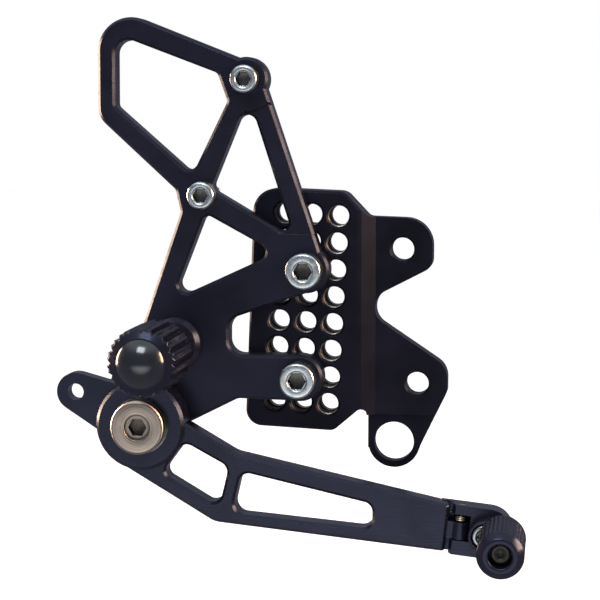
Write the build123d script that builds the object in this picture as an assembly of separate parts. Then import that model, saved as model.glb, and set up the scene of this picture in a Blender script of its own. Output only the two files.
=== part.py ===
"""Brake-side rear-set of a motorcycle: foot peg, hanger, adapter plate and brake pedal.

Frame: +X points forward, +Z up, +Y inboard to the motorcycle, in millimetres.
The origin is midway between the two frame bolts, on the face that meets the frame.
A "level" is a distance outboard from that face, so a point at level d has y = -d.
"""
from build123d import *
import math
import os

# Levels of the stack, from the motorcycle's frame outwards
EAR_LEVEL = 8.0
RING_TAB_LEVEL = 5.0
BLOCK_LEVEL = 14.0
HANGER_LEVEL = 22.0
HUB_BACK, HUB_FRONT = 23.2, 35.0
ARM_BACK, ARM_FRONT = 25.0, 33.0
ACTUATOR_BACK, ACTUATOR_FRONT = 24.0, 30.0
PEG_FRONT = 80.0

# Adapter plate
FRAME_HOLES = [(-2.85, 25.0), (2.85, -25.0)]
FRAME_HOLE_R = 4.25
EAR_R = 10.8
RING_CENTRE = (-5.9, -47.5)
RING_R, RING_HOLE_R = 9.8, 7.4
GRID_CENTRE = (-38.2, -2.0)
GRID_PITCH = 10.0
GRID_TILT = -3.2
GRID_HOLE_R = 4.05
GRID_COLUMNS = (-1, 0, 1)
GRID_ROWS = (4, 3, 2, 1, 0, -1, -2, -3)
HANGER_BOLT_ROWS = (2, -2)
COUNTERSINK = 0.6
BLOCK_CHAMFER = 0.8
SLOPE_TOP_X, SLOPE_FOOT_X = -18.0, -12.8
RING_TAB_CENTRE, RING_TAB_SIDE = (3.0, -56.8), 40.0

# Hanger
PIVOT = (-96.5, -38.8)
PEG = (-85.5, -9.8)
CYLINDER_BOLTS = [(-59.0, 87.2), (-75.0, 45.1)]
HANGER_BOSS_R = 8.6
CYLINDER_BOSS_R = 8.1
PEG_BOSS_R = 13.0
PIVOT_BOSS_R = 13.0
EDGE_CHAMFER = 1.0
STRUT_STEP, STRUT_LAND_R = 1.0, 11.3

# Threads are plain cylinders at the nominal radius, with this gap to the tapped wall
THREAD_GAP = 0.05

# A cutter that goes right through a piece runs past both its faces by this much
PAST = 1.0

# Screws, as (radius, head radius, head height, hexagon across flats)
M8 = (4.0, 6.5, 8.0, 6.0)
M6 = (3.0, 5.0, 6.0, 5.0)
M5 = (2.5, 4.25, 3.4, 4.0)
M4 = (2.0, 3.5, 4.0, 3.0)
M8_CLEARANCE_R, M4_CLEARANCE_R = 4.25, 2.2
HEAD_CHAMFER, TIP_CHAMFER = 0.5, 0.6
SOCKET_DEPTH = 0.55
HANGER_BOLT_TIP, CYLINDER_BOLT_TIP, PEG_BOLT_TIP = 3.0, 2.0, 5.5
LINK_BOLT_TIP, TOE_PEG_BOLT_TIP = 25.5, 33.8
REDUCED_SHANK_R = 2.65

# Nuts, as (hexagon across flats, inboard level)
PEG_NUT = (13.0, 6.5)
PIVOT_NUT = (16.0, 5.5)

# Foot peg
PEG_R = 12.2
PEG_NECK_R = 8.0
PEG_COLLAR_R = 10.0
PEG_COLLAR_LENGTH = 3.0
PEG_GRIP_LENGTH = 30.0
PEG_BORE_R = 7.0
PEG_BORE_DEPTH = 28.0
PEG_FLUTES = 16
PEG_FLUTE_R, PEG_FLUTE_REACH = 1.7, 12.55
CAP_R = 8.4
CAP_RISE = 4.0
CAP_SPIGOT = 6.0

# Pedal
HUB_R, HUB_CHAMFER = 16.5, 1.2
BEARING_FIT, BEARING_SHOULDER = 0.02, 0.5
ACTUATOR_ROOT_R = 11.5
CLEVIS_HOLE = (-121.8, -27.5)
CLEVIS_R, CLEVIS_HOLE_R = 7.1, 3.05

# Ball bearings of the pedal hub, two rows
BEARING_BORE_R, BEARING_R, BEARING_WIDTH = 6.02, 10.5, 5.0
INNER_RING_R, OUTER_RING_R = 7.6, 8.9
BALL_PITCH_R, BALL_R, BALL_COUNT = 8.25, 1.15, 12
RACE_R = 1.2
BEARING_LEVELS = (23.5, 29.8)
SEAL_THICKNESS = 0.4

# Pivot bolt
PIVOT_SHOULDER_R, PIVOT_THREAD_R = 6.0, 5.0
PIVOT_HEAD_R, PIVOT_HEAD_HEIGHT = 10.0, 4.7
PIVOT_RECESS_R, PIVOT_RECESS_DEPTH = 4.6, 1.5
PIVOT_HEX, PIVOT_HEX_DEPTH = 6.0, 4.5
PIVOT_TIP, PIVOT_CHAMFER = 4.0, 0.8
PIVOT_HEAD_GAP = 0.3

# Folding tip, in its own frame: u along the tip, w up across it, from the fold pin
FOLD_PIN = (20.4, -74.2)
FOLD_LEVEL = 30.0
TIP_SLOPE = 6.0
TIP_HALF_HEIGHT = 9.1
TIP_BACK, TIP_FRONT = 24.5, 33.4
KNUCKLE_R, KNUCKLE_FRONT = 3.4, -2.2
ARM_END, ARM_END_HALF_HEIGHT = -4.6, 8.6
TIP_LENGTH, TIP_NOSE = 12.0, 10.2
HEEL_LENGTH, HEEL_FRONT = 8.0, 27.2
HEEL_GAP = 0.2
TONGUE_R, TONGUE_LOW, TONGUE_HIGH = 3.2, -3.6, 2.6
TONGUE_ROOT, TONGUE_FRONT = -9.0, 32.0
SLOT_LOW, SLOT_HIGH, SLOT_DEPTH, SLOT_FLOOR = -3.9, 5.7, 3.6, 26.5
PIN_R, PIN_BORE_R, PIN_PRESS, PIN_SINK = 1.5, 1.55, 0.01, 0.2
SPRING_R, SPRING_WIRE_R, SPRING_TURNS, SPRING_PITCH = 2.35, 0.3, 3, 0.64
SPRING_ARM_LEG, SPRING_TIP_LEG, SPRING_LIFT = 4.3, 3.3, 0.5

# Toe link and toe peg
LINK_BOLT = (29.2, -75.1)
TOE_PEG = (36.0, -75.1)
LINK_R, LINK_PEG_R = 5.6, 7.0
LINK_FRONT = 39.4
LINK_CHAMFER = 0.5
LINK_BOLT_SEAT, LINK_BOLT_ROOM = 35.8, 0.3
TOE_PEG_R, TOE_PEG_LENGTH = 8.3, 28.0
TOE_PEG_CHAMFER = 2.2
TOE_COUNTERBORE_R, TOE_COUNTERBORE_DEPTH = 4.2, 8.0


def plane(level):
    """The plane at a level, with local x forward, local y up and its normal outboard."""
    return Plane.XZ.offset(level)


def slab(corners, low, high):
    """A plate between two levels from (x, z, corner radius) points."""
    points = [(x, z) for x, z, _ in corners]
    radii = [r for _, _, r in corners]
    face = make_face(FilletPolyline(*points, radius=radii, close=True))
    return extrude(plane(low) * face, high - low)


def rod(centre, radius, low, high):
    """A cylinder between two levels about a point (x, z)."""
    return extrude(plane(low) * Pos(*centre) * Circle(radius), high - low)


def hole(centre, radius, low, high):
    """The cutter for a hole that goes right through between two levels."""
    return rod(centre, radius, low - PAST, high + PAST)


def ring(centre, inner, outer, low, high):
    return rod(centre, outer, low, high) - rod(centre, inner, low, high)


def hexagon(centre, across_flats, low, high):
    sketch = RegularPolygon(across_flats / 2, 6, major_radius=False)
    return extrude(plane(low) * Pos(*centre) * sketch, high - low)


def bar(start, start_r, end, end_r, low, high):
    """A link with round ends of two radii and straight sides."""
    ends = [Pos(*start) * Circle(start_r), Pos(*end) * Circle(end_r)]
    hull = make_hull([edge for circle in ends for edge in circle.edges()])
    return extrude(plane(low) * hull, high - low)


def front_chamfer(solid, level, size):
    """Bevel every edge of the flat faces that lie at one level."""
    faces = [f for f in solid.faces() if abs(f.center().Y + level) < 0.001
             and abs(f.normal_at().Y + 1) < 0.001]
    edges = [edge for face in faces for edge in face.edges()]
    return chamfer(edges, size)


def socket_bolt(centre, radius, head_r, head_height, across_flats, tip, seat):
    """A socket head cap screw with its head on the seat level and its end at the tip level."""
    top = seat + head_height
    head = chamfer(rod(centre, head_r, seat, top).edges().group_by(Axis.Y)[0], HEAD_CHAMFER)
    shank = chamfer(rod(centre, radius, tip, seat).edges().group_by(Axis.Y)[-1], TIP_CHAMFER)
    return head + shank - hexagon(centre, across_flats, top - head_height * SOCKET_DEPTH, top + PAST)


def cylinder_bolt(centre):
    """An M6 screw whose shank is reduced where it passes through the hanger."""
    bolt = socket_bolt(centre, *M6, CYLINDER_BOLT_TIP, HANGER_LEVEL)
    return bolt - ring(centre, REDUCED_SHANK_R, M6[1], BLOCK_LEVEL - 0.2, HANGER_LEVEL)


def hex_nut(centre, nut, radius):
    """A nut against the hanger's inboard face, for a thread of one radius."""
    across_flats, low = nut
    return hexagon(centre, across_flats, low, BLOCK_LEVEL) - hole(centre, radius + THREAD_GAP, low, BLOCK_LEVEL)


def peg_locknut():
    return hex_nut(PEG, PEG_NUT, M8[0])


def pivot_locknut():
    return hex_nut(PIVOT, PIVOT_NUT, PIVOT_THREAD_R)


def grid_point(column, row):
    """A hole centre of the adapter's adjustment grid."""
    x, z = column * GRID_PITCH, row * GRID_PITCH
    tilt = math.radians(GRID_TILT)
    return (GRID_CENTRE[0] + x * math.cos(tilt) - z * math.sin(tilt),
            GRID_CENTRE[1] + x * math.sin(tilt) + z * math.cos(tilt))


HANGER_BOLTS = [grid_point(0, row) for row in HANGER_BOLT_ROWS]


def adapter_plate():
    outline = [(-57.5, 47.7, 8.5), (-24.0, 46.3, 5), (-15.2, 37.0, 3), (8.3, 36.2, 10.4), (8.3, 18.4, 5),
               (-19.7, 3.9, 7), (14.0, -18.6, 8), (14.0, -28.0, 5), (1.5, -54.0, 0), (-15.7, -50.0, 0),
               (-15.7, -32.1, 2), (-27.8, -42.5, 4), (-60.9, -41.0, 6)]
    body = slab(outline, 0, BLOCK_LEVEL) + rod(RING_CENTRE, RING_R, 0, BLOCK_LEVEL)

    # Ears: the block slopes down to them along its forward side
    forward, above, tall = 30.0, BLOCK_LEVEL + 6, 200.0
    slope = [(SLOPE_TOP_X, BLOCK_LEVEL), (SLOPE_FOOT_X, EAR_LEVEL), (forward, EAR_LEVEL),
             (forward, above), (SLOPE_TOP_X, above)]
    points = [(x, -level, 0) for x, level in slope]
    body -= Pos(0, 0, -tall / 2) * extrude(make_face(Polyline(*points, close=True)), tall, dir=(0, 0, 1))
    tab = plane(RING_TAB_LEVEL) * Pos(*RING_TAB_CENTRE) * Rectangle(RING_TAB_SIDE, RING_TAB_SIDE)
    body -= extrude(tab, above)

    body = front_chamfer(body, BLOCK_LEVEL, BLOCK_CHAMFER)
    for centre in FRAME_HOLES:
        body -= hole(centre, FRAME_HOLE_R, 0, BLOCK_LEVEL)
        body -= countersink(centre, FRAME_HOLE_R, EAR_LEVEL)
    body -= hole(RING_CENTRE, RING_HOLE_R, 0, BLOCK_LEVEL)
    for column in GRID_COLUMNS:
        for row in GRID_ROWS:
            centre = grid_point(column, row)
            body -= hole(centre, GRID_HOLE_R, 0, BLOCK_LEVEL)
            body -= countersink(centre, GRID_HOLE_R, BLOCK_LEVEL)
    return body


def countersink(centre, radius, level):
    """The cutter for a small bevel round a hole's outboard rim."""
    cone = Cone(radius + COUNTERSINK, radius, COUNTERSINK, align=(Align.CENTER, Align.CENTER, Align.MIN))
    return Pos(centre[0], -level, centre[1]) * Rot(-90, 0, 0) * cone


def hanger_plate():
    """The hanger: full height, but for the forward strut, which is a step lower between its bosses."""
    low, high = BLOCK_LEVEL, HANGER_LEVEL
    strut = strut_region()
    body = hanger_blank(high) - strut
    body += hanger_blank(high - STRUT_STEP) & strut
    for centre in HANGER_BOLTS:
        body -= hole(centre, M8_CLEARANCE_R, low, high)
    for centre in CYLINDER_BOLTS:
        body -= hole(centre, M6[0] + THREAD_GAP, low, high)
    body -= hole(PEG, M8[0] + THREAD_GAP, low, high)
    body -= hole(PIVOT, PIVOT_THREAD_R + THREAD_GAP, low, high)
    return body


def hanger_blank(high):
    """The hanger's outline, bosses and windows up to a level, with its front edges bevelled."""
    outline = [(-114.2, 115.8, 12.5), (-54.6, 92.2, 5), (-30.4, 20.5, 2), (-36.5, 9.6, 0),
               (-65.8, -0.6, 5.3), (-65.8, -13.6, 5.3), (-39.0, -13.5, 0), (-39.3, -30.4, 0),
               (-62.3, -29.9, 4), (-90.0, -44.0, 0), (-104.0, -49.0, 0), (-109.3, -35.5, 0),
               (-83.6, 38.8, 2.5), (-85.4, 47.1, 2.5), (-114.2, 73.5, 8)]
    loop = [(-107.7, 103.9, 5), (-69.6, 89.5, 2.4), (-65.9, 79.3, 2.4), (-79.1, 52.5, 3.2), (-107.8, 77.6, 2.4)]
    triangle = [(-58.4, 81.2, 3.6), (-41.6, 29.4, 2.4), (-72.3, 47.4, 3.2)]
    middle = [(-74.5, 38.4, 2.4), (-48.1, 24.1, 3.2), (-87.2, 6.1, 3.2)]
    low = BLOCK_LEVEL
    body = slab(outline, low, high)
    for centre in HANGER_BOLTS:
        body += rod(centre, HANGER_BOSS_R, low, high)
    for centre in CYLINDER_BOLTS:
        body += rod(centre, CYLINDER_BOSS_R, low, high)
    body += rod(PEG, PEG_BOSS_R, low, high) + rod(PIVOT, PIVOT_BOSS_R, low, high)
    for window in (loop, triangle, middle):
        body -= slab(window, low - PAST, high + PAST)
    return front_chamfer(body, high, EDGE_CHAMFER)


def strut_region():
    """The space round the forward strut, between the bevelled round lands of its two bosses."""
    reach = [(-44.0, 84.0), (-60.0, 76.0), (-47.0, 31.0), (-25.0, 31.0)]
    face = make_face(Polyline(*reach, close=True))
    area = extrude(plane(BLOCK_LEVEL - PAST) * face, HANGER_LEVEL - BLOCK_LEVEL + 2 * PAST)
    for centre in (CYLINDER_BOLTS[0], HANGER_BOLTS[0]):
        area -= strut_land(centre)
    return area


def strut_land(centre):
    """A boss's land: a cone of 45 degrees that reaches from the block to above the hanger."""
    foot = STRUT_LAND_R + HANGER_LEVEL - BLOCK_LEVEL
    rise = foot - STRUT_LAND_R / 2
    cone = Cone(foot, foot - rise, rise, align=(Align.CENTER, Align.CENTER, Align.MIN))
    return Pos(centre[0], -BLOCK_LEVEL, centre[1]) * Rot(90, 0, 0) * cone


def hanger_bolts():
    return [socket_bolt(centre, *M8, HANGER_BOLT_TIP, HANGER_LEVEL) for centre in HANGER_BOLTS]


def cylinder_bolts():
    return [cylinder_bolt(centre) for centre in CYLINDER_BOLTS]


def peg_profile():
    """Half section of the foot peg before its bore, as (radius, level)."""
    collar = HANGER_LEVEL + PEG_COLLAR_LENGTH
    grip = PEG_FRONT - PEG_GRIP_LENGTH
    return [(0, HANGER_LEVEL), (PEG_COLLAR_R, HANGER_LEVEL), (PEG_COLLAR_R, collar), (PEG_NECK_R, collar + 2),
            (PEG_NECK_R, grip - 2.5), (PEG_R - 0.6, grip), (PEG_R, grip + 0.8), (PEG_R, PEG_FRONT - 2.4),
            (CAP_R + 0.4, PEG_FRONT), (0, PEG_FRONT)]


def turned(centre, profile):
    """A solid of revolution about the outboard axis through a point, from (radius, level) points."""
    points = [(radius, -level, 0) for radius, level in profile]
    half = make_face(Polyline(*points, close=True))
    return Pos(centre[0], 0, centre[1]) * revolve(half, Axis.Y)


def peg_body():
    body = turned(PEG, peg_profile())
    body -= rod(PEG, PEG_BORE_R, PEG_FRONT - PEG_BORE_DEPTH, PEG_FRONT + PAST)
    body -= hole(PEG, M8_CLEARANCE_R, HANGER_LEVEL, PEG_FRONT)
    for i in range(PEG_FLUTES):
        angle = 2 * math.pi * i / PEG_FLUTES
        centre = (PEG[0] + PEG_FLUTE_REACH * math.cos(angle), PEG[1] + PEG_FLUTE_REACH * math.sin(angle))
        body -= hole(centre, PEG_FLUTE_R, PEG_FRONT - PEG_GRIP_LENGTH, PEG_FRONT)
    return body


def peg_bolt():
    seat = PEG_FRONT - PEG_BORE_DEPTH
    return socket_bolt(PEG, *M8, PEG_BOLT_TIP, seat)


def peg_cap():
    sag = CAP_RISE
    sphere_r = (CAP_R ** 2 + sag ** 2) / (2 * sag)
    dome = Pos(PEG[0], -(PEG_FRONT + sag - sphere_r), PEG[1]) * Sphere(sphere_r)
    dome = dome & rod(PEG, CAP_R, PEG_FRONT, PEG_FRONT + sag)
    return dome + rod(PEG, PEG_BORE_R - 0.02, PEG_FRONT - CAP_SPIGOT, PEG_FRONT)


def pivot_bolt():
    seat = BEARING_LEVELS[1] + BEARING_WIDTH
    face = HUB_FRONT + PIVOT_HEAD_GAP
    top = face + PIVOT_HEAD_HEIGHT
    head = rod(PIVOT, PIVOT_HEAD_R, face, top)
    thread = rod(PIVOT, PIVOT_THREAD_R, PIVOT_TIP, HANGER_LEVEL)
    bolt = rod(PIVOT, INNER_RING_R, seat, face) + rod(PIVOT, PIVOT_SHOULDER_R, HANGER_LEVEL, seat)
    bolt += chamfer(head.edges().group_by(Axis.Y)[0], PIVOT_CHAMFER)
    bolt += chamfer(thread.edges().group_by(Axis.Y)[-1], PIVOT_CHAMFER)
    bolt -= rod(PIVOT, PIVOT_RECESS_R, top - PIVOT_RECESS_DEPTH, top + PAST)
    return bolt - hexagon(PIVOT, PIVOT_HEX, top - PIVOT_HEX_DEPTH, top)


def inner_rings():
    return [bearing_ring(level, BEARING_BORE_R, INNER_RING_R) for level in BEARING_LEVELS]


def outer_rings():
    return [bearing_ring(level, OUTER_RING_R, BEARING_R) for level in BEARING_LEVELS]


def bearing_ring(level, inner, outer):
    """One race of a ball bearing with its groove."""
    body = ring(PIVOT, inner, outer, level, level + BEARING_WIDTH)
    groove = Torus(BALL_PITCH_R, RACE_R)
    return body - Pos(PIVOT[0], -(level + BEARING_WIDTH / 2), PIVOT[1]) * Rot(90, 0, 0) * groove


def bearing_balls():
    balls = []
    for level in BEARING_LEVELS:
        for i in range(BALL_COUNT):
            angle = 2 * math.pi * i / BALL_COUNT
            x = PIVOT[0] + BALL_PITCH_R * math.cos(angle)
            z = PIVOT[1] + BALL_PITCH_R * math.sin(angle)
            balls.append(Pos(x, -(level + BEARING_WIDTH / 2), z) * Sphere(BALL_R))
    return balls


def bearing_seals():
    seals = []
    for level in BEARING_LEVELS:
        for low in (level + 0.1, level + BEARING_WIDTH - SEAL_THICKNESS - 0.1):
            seals.append(ring(PIVOT, INNER_RING_R + 0.1, OUTER_RING_R, low, low + SEAL_THICKNESS))
    return seals


def pivot_spacers():
    """The shim under the inner bearing and the distance tube between the two inner rings."""
    back, front = BEARING_LEVELS
    return [ring(PIVOT, BEARING_BORE_R, INNER_RING_R, HANGER_LEVEL, back),
            ring(PIVOT, BEARING_BORE_R, INNER_RING_R, back + BEARING_WIDTH, front)]


def tip_frame():
    """The folding tip's own frame: x along the tip, y outboard, z up, from the fold pin."""
    return Pos(FOLD_PIN[0], 0, FOLD_PIN[1]) * Rot(0, TIP_SLOPE, 0)


def tip_point(u, w):
    """The (x, z) of a point in the folding tip's frame."""
    slope = math.radians(TIP_SLOPE)
    return (FOLD_PIN[0] + u * math.cos(slope) + w * math.sin(slope),
            FOLD_PIN[1] - u * math.sin(slope) + w * math.cos(slope))


def tip_prism(points, low, high):
    """A prism along the fold pin, from (u, level) points, between two heights w."""
    face = make_face(Polyline(*[(u, -level, 0) for u, level in points], close=True))
    return tip_frame() * Pos(0, 0, low) * extrude(face, high - low, dir=(0, 0, 1))


def tip_rod(radius, low, high):
    """A cylinder on the fold pin's axis between two heights w."""
    height = high - low
    cylinder = Cylinder(radius, height, align=(Align.CENTER, Align.CENTER, Align.MIN))
    return tip_frame() * Pos(0, -FOLD_LEVEL, low) * cylinder


def brake_pedal():
    arm = [(-88.0, -33.0, 0), (-78.5, -38.6, 0), (-61.3, -48.5, 10),
           (*tip_point(ARM_END, ARM_END_HALF_HEIGHT), 1.2), (*tip_point(ARM_END, -ARM_END_HALF_HEIGHT), 1.2),
           (-69.3, -74.1, 9), (-107.5, -51.6, 0)]
    near_window = [(-80.4, -44.8, 3.2), (-64.0, -53.6, 3.8), (-67.6, -68.8, 3.8), (-88.8, -56.4, 3.2)]
    far_window = [(-59.3, -55.2, 3.6), (-11.2, -65.8, 3.6), (-11.2, -75.0, 4), (-62.9, -70.7, 4.4)]

    body = slab(arm, ARM_BACK, ARM_FRONT)
    for window in (near_window, far_window):
        body -= slab(window, ARM_BACK - PAST, ARM_FRONT + PAST)
    body = front_chamfer(body, ARM_FRONT, EDGE_CHAMFER) - heel_rebate()
    body += bar(PIVOT, ACTUATOR_ROOT_R, CLEVIS_HOLE, CLEVIS_R, ACTUATOR_BACK, ACTUATOR_FRONT)
    body += chamfer(rod(PIVOT, HUB_R, HUB_BACK, HUB_FRONT).edges().group_by(Axis.Y)[0], HUB_CHAMFER)

    # Hub bores: a light press on each bearing, with a shoulder between them
    back, front = BEARING_LEVELS
    body -= hole(PIVOT, OUTER_RING_R + BEARING_SHOULDER, HUB_BACK, HUB_FRONT)
    body -= rod(PIVOT, BEARING_R + BEARING_FIT, HUB_BACK - PAST, back + BEARING_WIDTH)
    body -= rod(PIVOT, BEARING_R + BEARING_FIT, front, HUB_FRONT + PAST)
    body -= hole(CLEVIS_HOLE, CLEVIS_HOLE_R, ACTUATOR_BACK, ACTUATOR_FRONT)

    # Tongue for the folding tip
    tongue_back = FOLD_LEVEL - TONGUE_R
    body += tip_prism([(TONGUE_ROOT, tongue_back), (0, tongue_back), (0, TONGUE_FRONT),
                       (TONGUE_ROOT, TONGUE_FRONT)], TONGUE_LOW, TONGUE_HIGH)
    body += tip_rod(TONGUE_R, TONGUE_LOW, TONGUE_HIGH)
    return body - tip_rod(PIN_BORE_R, TONGUE_LOW - PAST, TONGUE_HIGH + PAST)


def heel_rebate():
    """The room at the back of the arm's end that the heel of the folding tip laps into."""
    end, front = -HEEL_LENGTH - HEEL_GAP, HEEL_FRONT + HEEL_GAP
    section = [(end, ARM_BACK - PAST), (0, ARM_BACK - PAST), (0, front), (end, front)]
    return tip_prism(section, -ARM_END_HALF_HEIGHT - PAST, ARM_END_HALF_HEIGHT + PAST)


def tip_block():
    plan = [(-HEEL_LENGTH, TIP_BACK), (TIP_LENGTH, TIP_BACK), (TIP_LENGTH, TIP_FRONT),
            (KNUCKLE_FRONT, TIP_FRONT), (-KNUCKLE_R, FOLD_LEVEL), (-KNUCKLE_R, HEEL_FRONT), (-HEEL_LENGTH, HEEL_FRONT)]
    body = tip_prism(plan, -TIP_HALF_HEIGHT, TIP_HALF_HEIGHT)
    body += tip_rod(KNUCKLE_R, -TIP_HALF_HEIGHT, TIP_HALF_HEIGHT)
    nose = extrude(plane(TIP_BACK) * Circle(TIP_HALF_HEIGHT), TIP_FRONT - TIP_BACK)
    body += tip_frame() * Pos(TIP_NOSE, 0, 0) * nose
    thickness, reach = TIP_FRONT - TIP_BACK + 2 * PAST, 2 * TIP_HALF_HEIGHT
    trim = extrude(plane(TIP_BACK - PAST) * Pos(reach, 0) * Rectangle(2 * reach, 2 * reach), thickness)
    keep = extrude(plane(TIP_BACK - PAST) * Circle(TIP_HALF_HEIGHT), thickness)
    body -= tip_frame() * Pos(TIP_NOSE, 0, 0) * (trim - keep)

    back, front = -HEEL_LENGTH - PAST, TIP_FRONT + PAST
    slot = [(back, SLOT_FLOOR), (SLOT_DEPTH, SLOT_FLOOR), (SLOT_DEPTH, front), (back, front)]
    body -= tip_prism(slot, SLOT_LOW, SLOT_HIGH)
    body -= tip_rod(PIN_R + PIN_PRESS, -TIP_HALF_HEIGHT - PAST, TIP_HALF_HEIGHT + PAST)
    return body - hole(LINK_BOLT, M5[0] + THREAD_GAP, TIP_BACK, TIP_FRONT)


def fold_pin():
    reach = TIP_HALF_HEIGHT - PIN_SINK
    return tip_rod(PIN_R, -reach, reach)


def fold_spring():
    """Torsion spring on the fold pin: a coil with a leg to the arm and a leg to the tip."""
    height = SPRING_TURNS * SPRING_PITCH
    base = TONGUE_HIGH + SPRING_LIFT
    coil = Helix(pitch=SPRING_PITCH, height=height, radius=SPRING_R)
    section = Plane(origin=coil @ 0, z_dir=coil % 0) * Circle(SPRING_WIRE_R)
    wire = sweep(section, path=coil)
    leg = Plane(origin=coil @ 1, z_dir=coil % 1) * Circle(SPRING_WIRE_R)
    spring = wire + extrude(leg, SPRING_ARM_LEG) + extrude(section, -SPRING_TIP_LEG)
    return tip_frame() * Pos(0, -FOLD_LEVEL, base) * Rot(0, 0, 90) * spring


def toe_link():
    body = bar(LINK_BOLT, LINK_R, TOE_PEG, LINK_PEG_R, TIP_FRONT, LINK_FRONT)
    body = front_chamfer(body, LINK_FRONT, LINK_CHAMFER)
    body -= rod(LINK_BOLT, M5[1] + LINK_BOLT_ROOM, LINK_BOLT_SEAT, LINK_FRONT + PAST)
    body -= hole(LINK_BOLT, M5[0] + THREAD_GAP, TIP_FRONT, LINK_FRONT)
    return body - hole(TOE_PEG, M4[0] + THREAD_GAP, TIP_FRONT, LINK_FRONT)


def link_bolt():
    return socket_bolt(LINK_BOLT, *M5, LINK_BOLT_TIP, LINK_BOLT_SEAT)


def toe_peg():
    front = LINK_FRONT + TOE_PEG_LENGTH
    body = turned(TOE_PEG, [(0, LINK_FRONT), (TOE_PEG_R - 0.5, LINK_FRONT), (TOE_PEG_R, LINK_FRONT + 0.5),
                            (TOE_PEG_R, front - TOE_PEG_CHAMFER), (TOE_PEG_R - TOE_PEG_CHAMFER, front),
                            (0, front)])
    body -= rod(TOE_PEG, TOE_COUNTERBORE_R, front - TOE_COUNTERBORE_DEPTH, front + PAST)
    return body - hole(TOE_PEG, M4_CLEARANCE_R, LINK_FRONT, front)


def toe_peg_bolt():
    seat = LINK_FRONT + TOE_PEG_LENGTH - TOE_COUNTERBORE_DEPTH
    return socket_bolt(TOE_PEG, *M4, TOE_PEG_BOLT_TIP, seat)


NODES = {
    "adapter_plate": adapter_plate,
    "hanger_plate": hanger_plate,
    "hanger_bolts": hanger_bolts,
    "cylinder_bolts": cylinder_bolts,
    "peg_body": peg_body,
    "peg_bolt": peg_bolt,
    "peg_cap": peg_cap,
    "peg_locknut": peg_locknut,
    "pivot_bolt": pivot_bolt,
    "pivot_locknut": pivot_locknut,
    "pivot_spacers": pivot_spacers,
    "bearing_inner_rings": inner_rings,
    "bearing_outer_rings": outer_rings,
    "bearing_balls": bearing_balls,
    "bearing_seals": bearing_seals,
    "brake_pedal": brake_pedal,
    "fold_pin": fold_pin,
    "fold_spring": fold_spring,
    "tip_block": tip_block,
    "toe_link": toe_link,
    "link_bolt": link_bolt,
    "toe_peg": toe_peg,
    "toe_peg_bolt": toe_peg_bolt,
}

os.makedirs("parts", exist_ok=True)
for name, make in NODES.items():
    made = make()
    shape = Compound(children=[s for piece in made for s in piece.solids()]) if isinstance(made, list) else made
    export_step(shape, f"parts/{name}.step")
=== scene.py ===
"""Looks for a motorcycle's brake-side rear-set, built round its packed parts.

Everything is in metres, in the parts' own frame: +X forward, +Z up, -Y outboard.
A "level" is a distance outboard, so a point at a level has y = -level.
"""
import bmesh
import bpy
import math
from mathutils import Matrix, Vector


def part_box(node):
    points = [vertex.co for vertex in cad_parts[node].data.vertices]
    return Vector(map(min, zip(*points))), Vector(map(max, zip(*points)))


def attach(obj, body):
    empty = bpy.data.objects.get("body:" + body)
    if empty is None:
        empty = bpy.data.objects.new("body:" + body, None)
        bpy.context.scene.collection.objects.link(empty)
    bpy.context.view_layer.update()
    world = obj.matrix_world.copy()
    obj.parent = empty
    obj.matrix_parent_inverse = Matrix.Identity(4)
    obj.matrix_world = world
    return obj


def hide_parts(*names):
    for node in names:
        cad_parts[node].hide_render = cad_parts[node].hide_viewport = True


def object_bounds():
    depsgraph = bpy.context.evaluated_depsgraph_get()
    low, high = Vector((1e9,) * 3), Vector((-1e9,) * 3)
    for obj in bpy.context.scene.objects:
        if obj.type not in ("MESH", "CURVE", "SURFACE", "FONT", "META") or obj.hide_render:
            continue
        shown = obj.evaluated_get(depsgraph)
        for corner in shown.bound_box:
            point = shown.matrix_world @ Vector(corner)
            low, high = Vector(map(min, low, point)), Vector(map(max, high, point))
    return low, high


bl_info = {
    "name": "Rear-set looks",
    "version": (1, 0, 0),
    "blender": (4, 5, 0),
    "location": "View3D > Sidebar > Rear-set",
    "description": "Turned pieces, threads, finishes and a studio for a rear-set",
    "category": "Object",
}

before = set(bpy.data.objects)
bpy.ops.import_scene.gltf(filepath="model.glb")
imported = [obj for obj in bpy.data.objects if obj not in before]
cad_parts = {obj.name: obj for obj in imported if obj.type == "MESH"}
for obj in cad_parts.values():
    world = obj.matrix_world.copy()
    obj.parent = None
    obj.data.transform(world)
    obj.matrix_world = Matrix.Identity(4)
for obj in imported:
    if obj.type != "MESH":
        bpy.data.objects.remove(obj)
CAD_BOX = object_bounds()

MM = 0.001
SOFT_EDGE = 0.25 * MM
SMOOTH_ANGLE = math.radians(32)


# Places read from the frame

def axis_of(node):
    """A turned node's axis as (x, z)."""
    low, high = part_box(node)
    return ((low.x + high.x) / 2, (low.z + high.z) / 2)


def pair_of(node, radius):
    """The axes of a node's two turned solids, the upper and forward one first."""
    low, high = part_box(node)
    return [(high.x - radius, high.z - radius), (low.x + radius, low.z + radius)]


def levels_of(node):
    """A node's inboard and outboard levels."""
    low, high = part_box(node)
    return -high.y, -low.y


# Node trees

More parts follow.
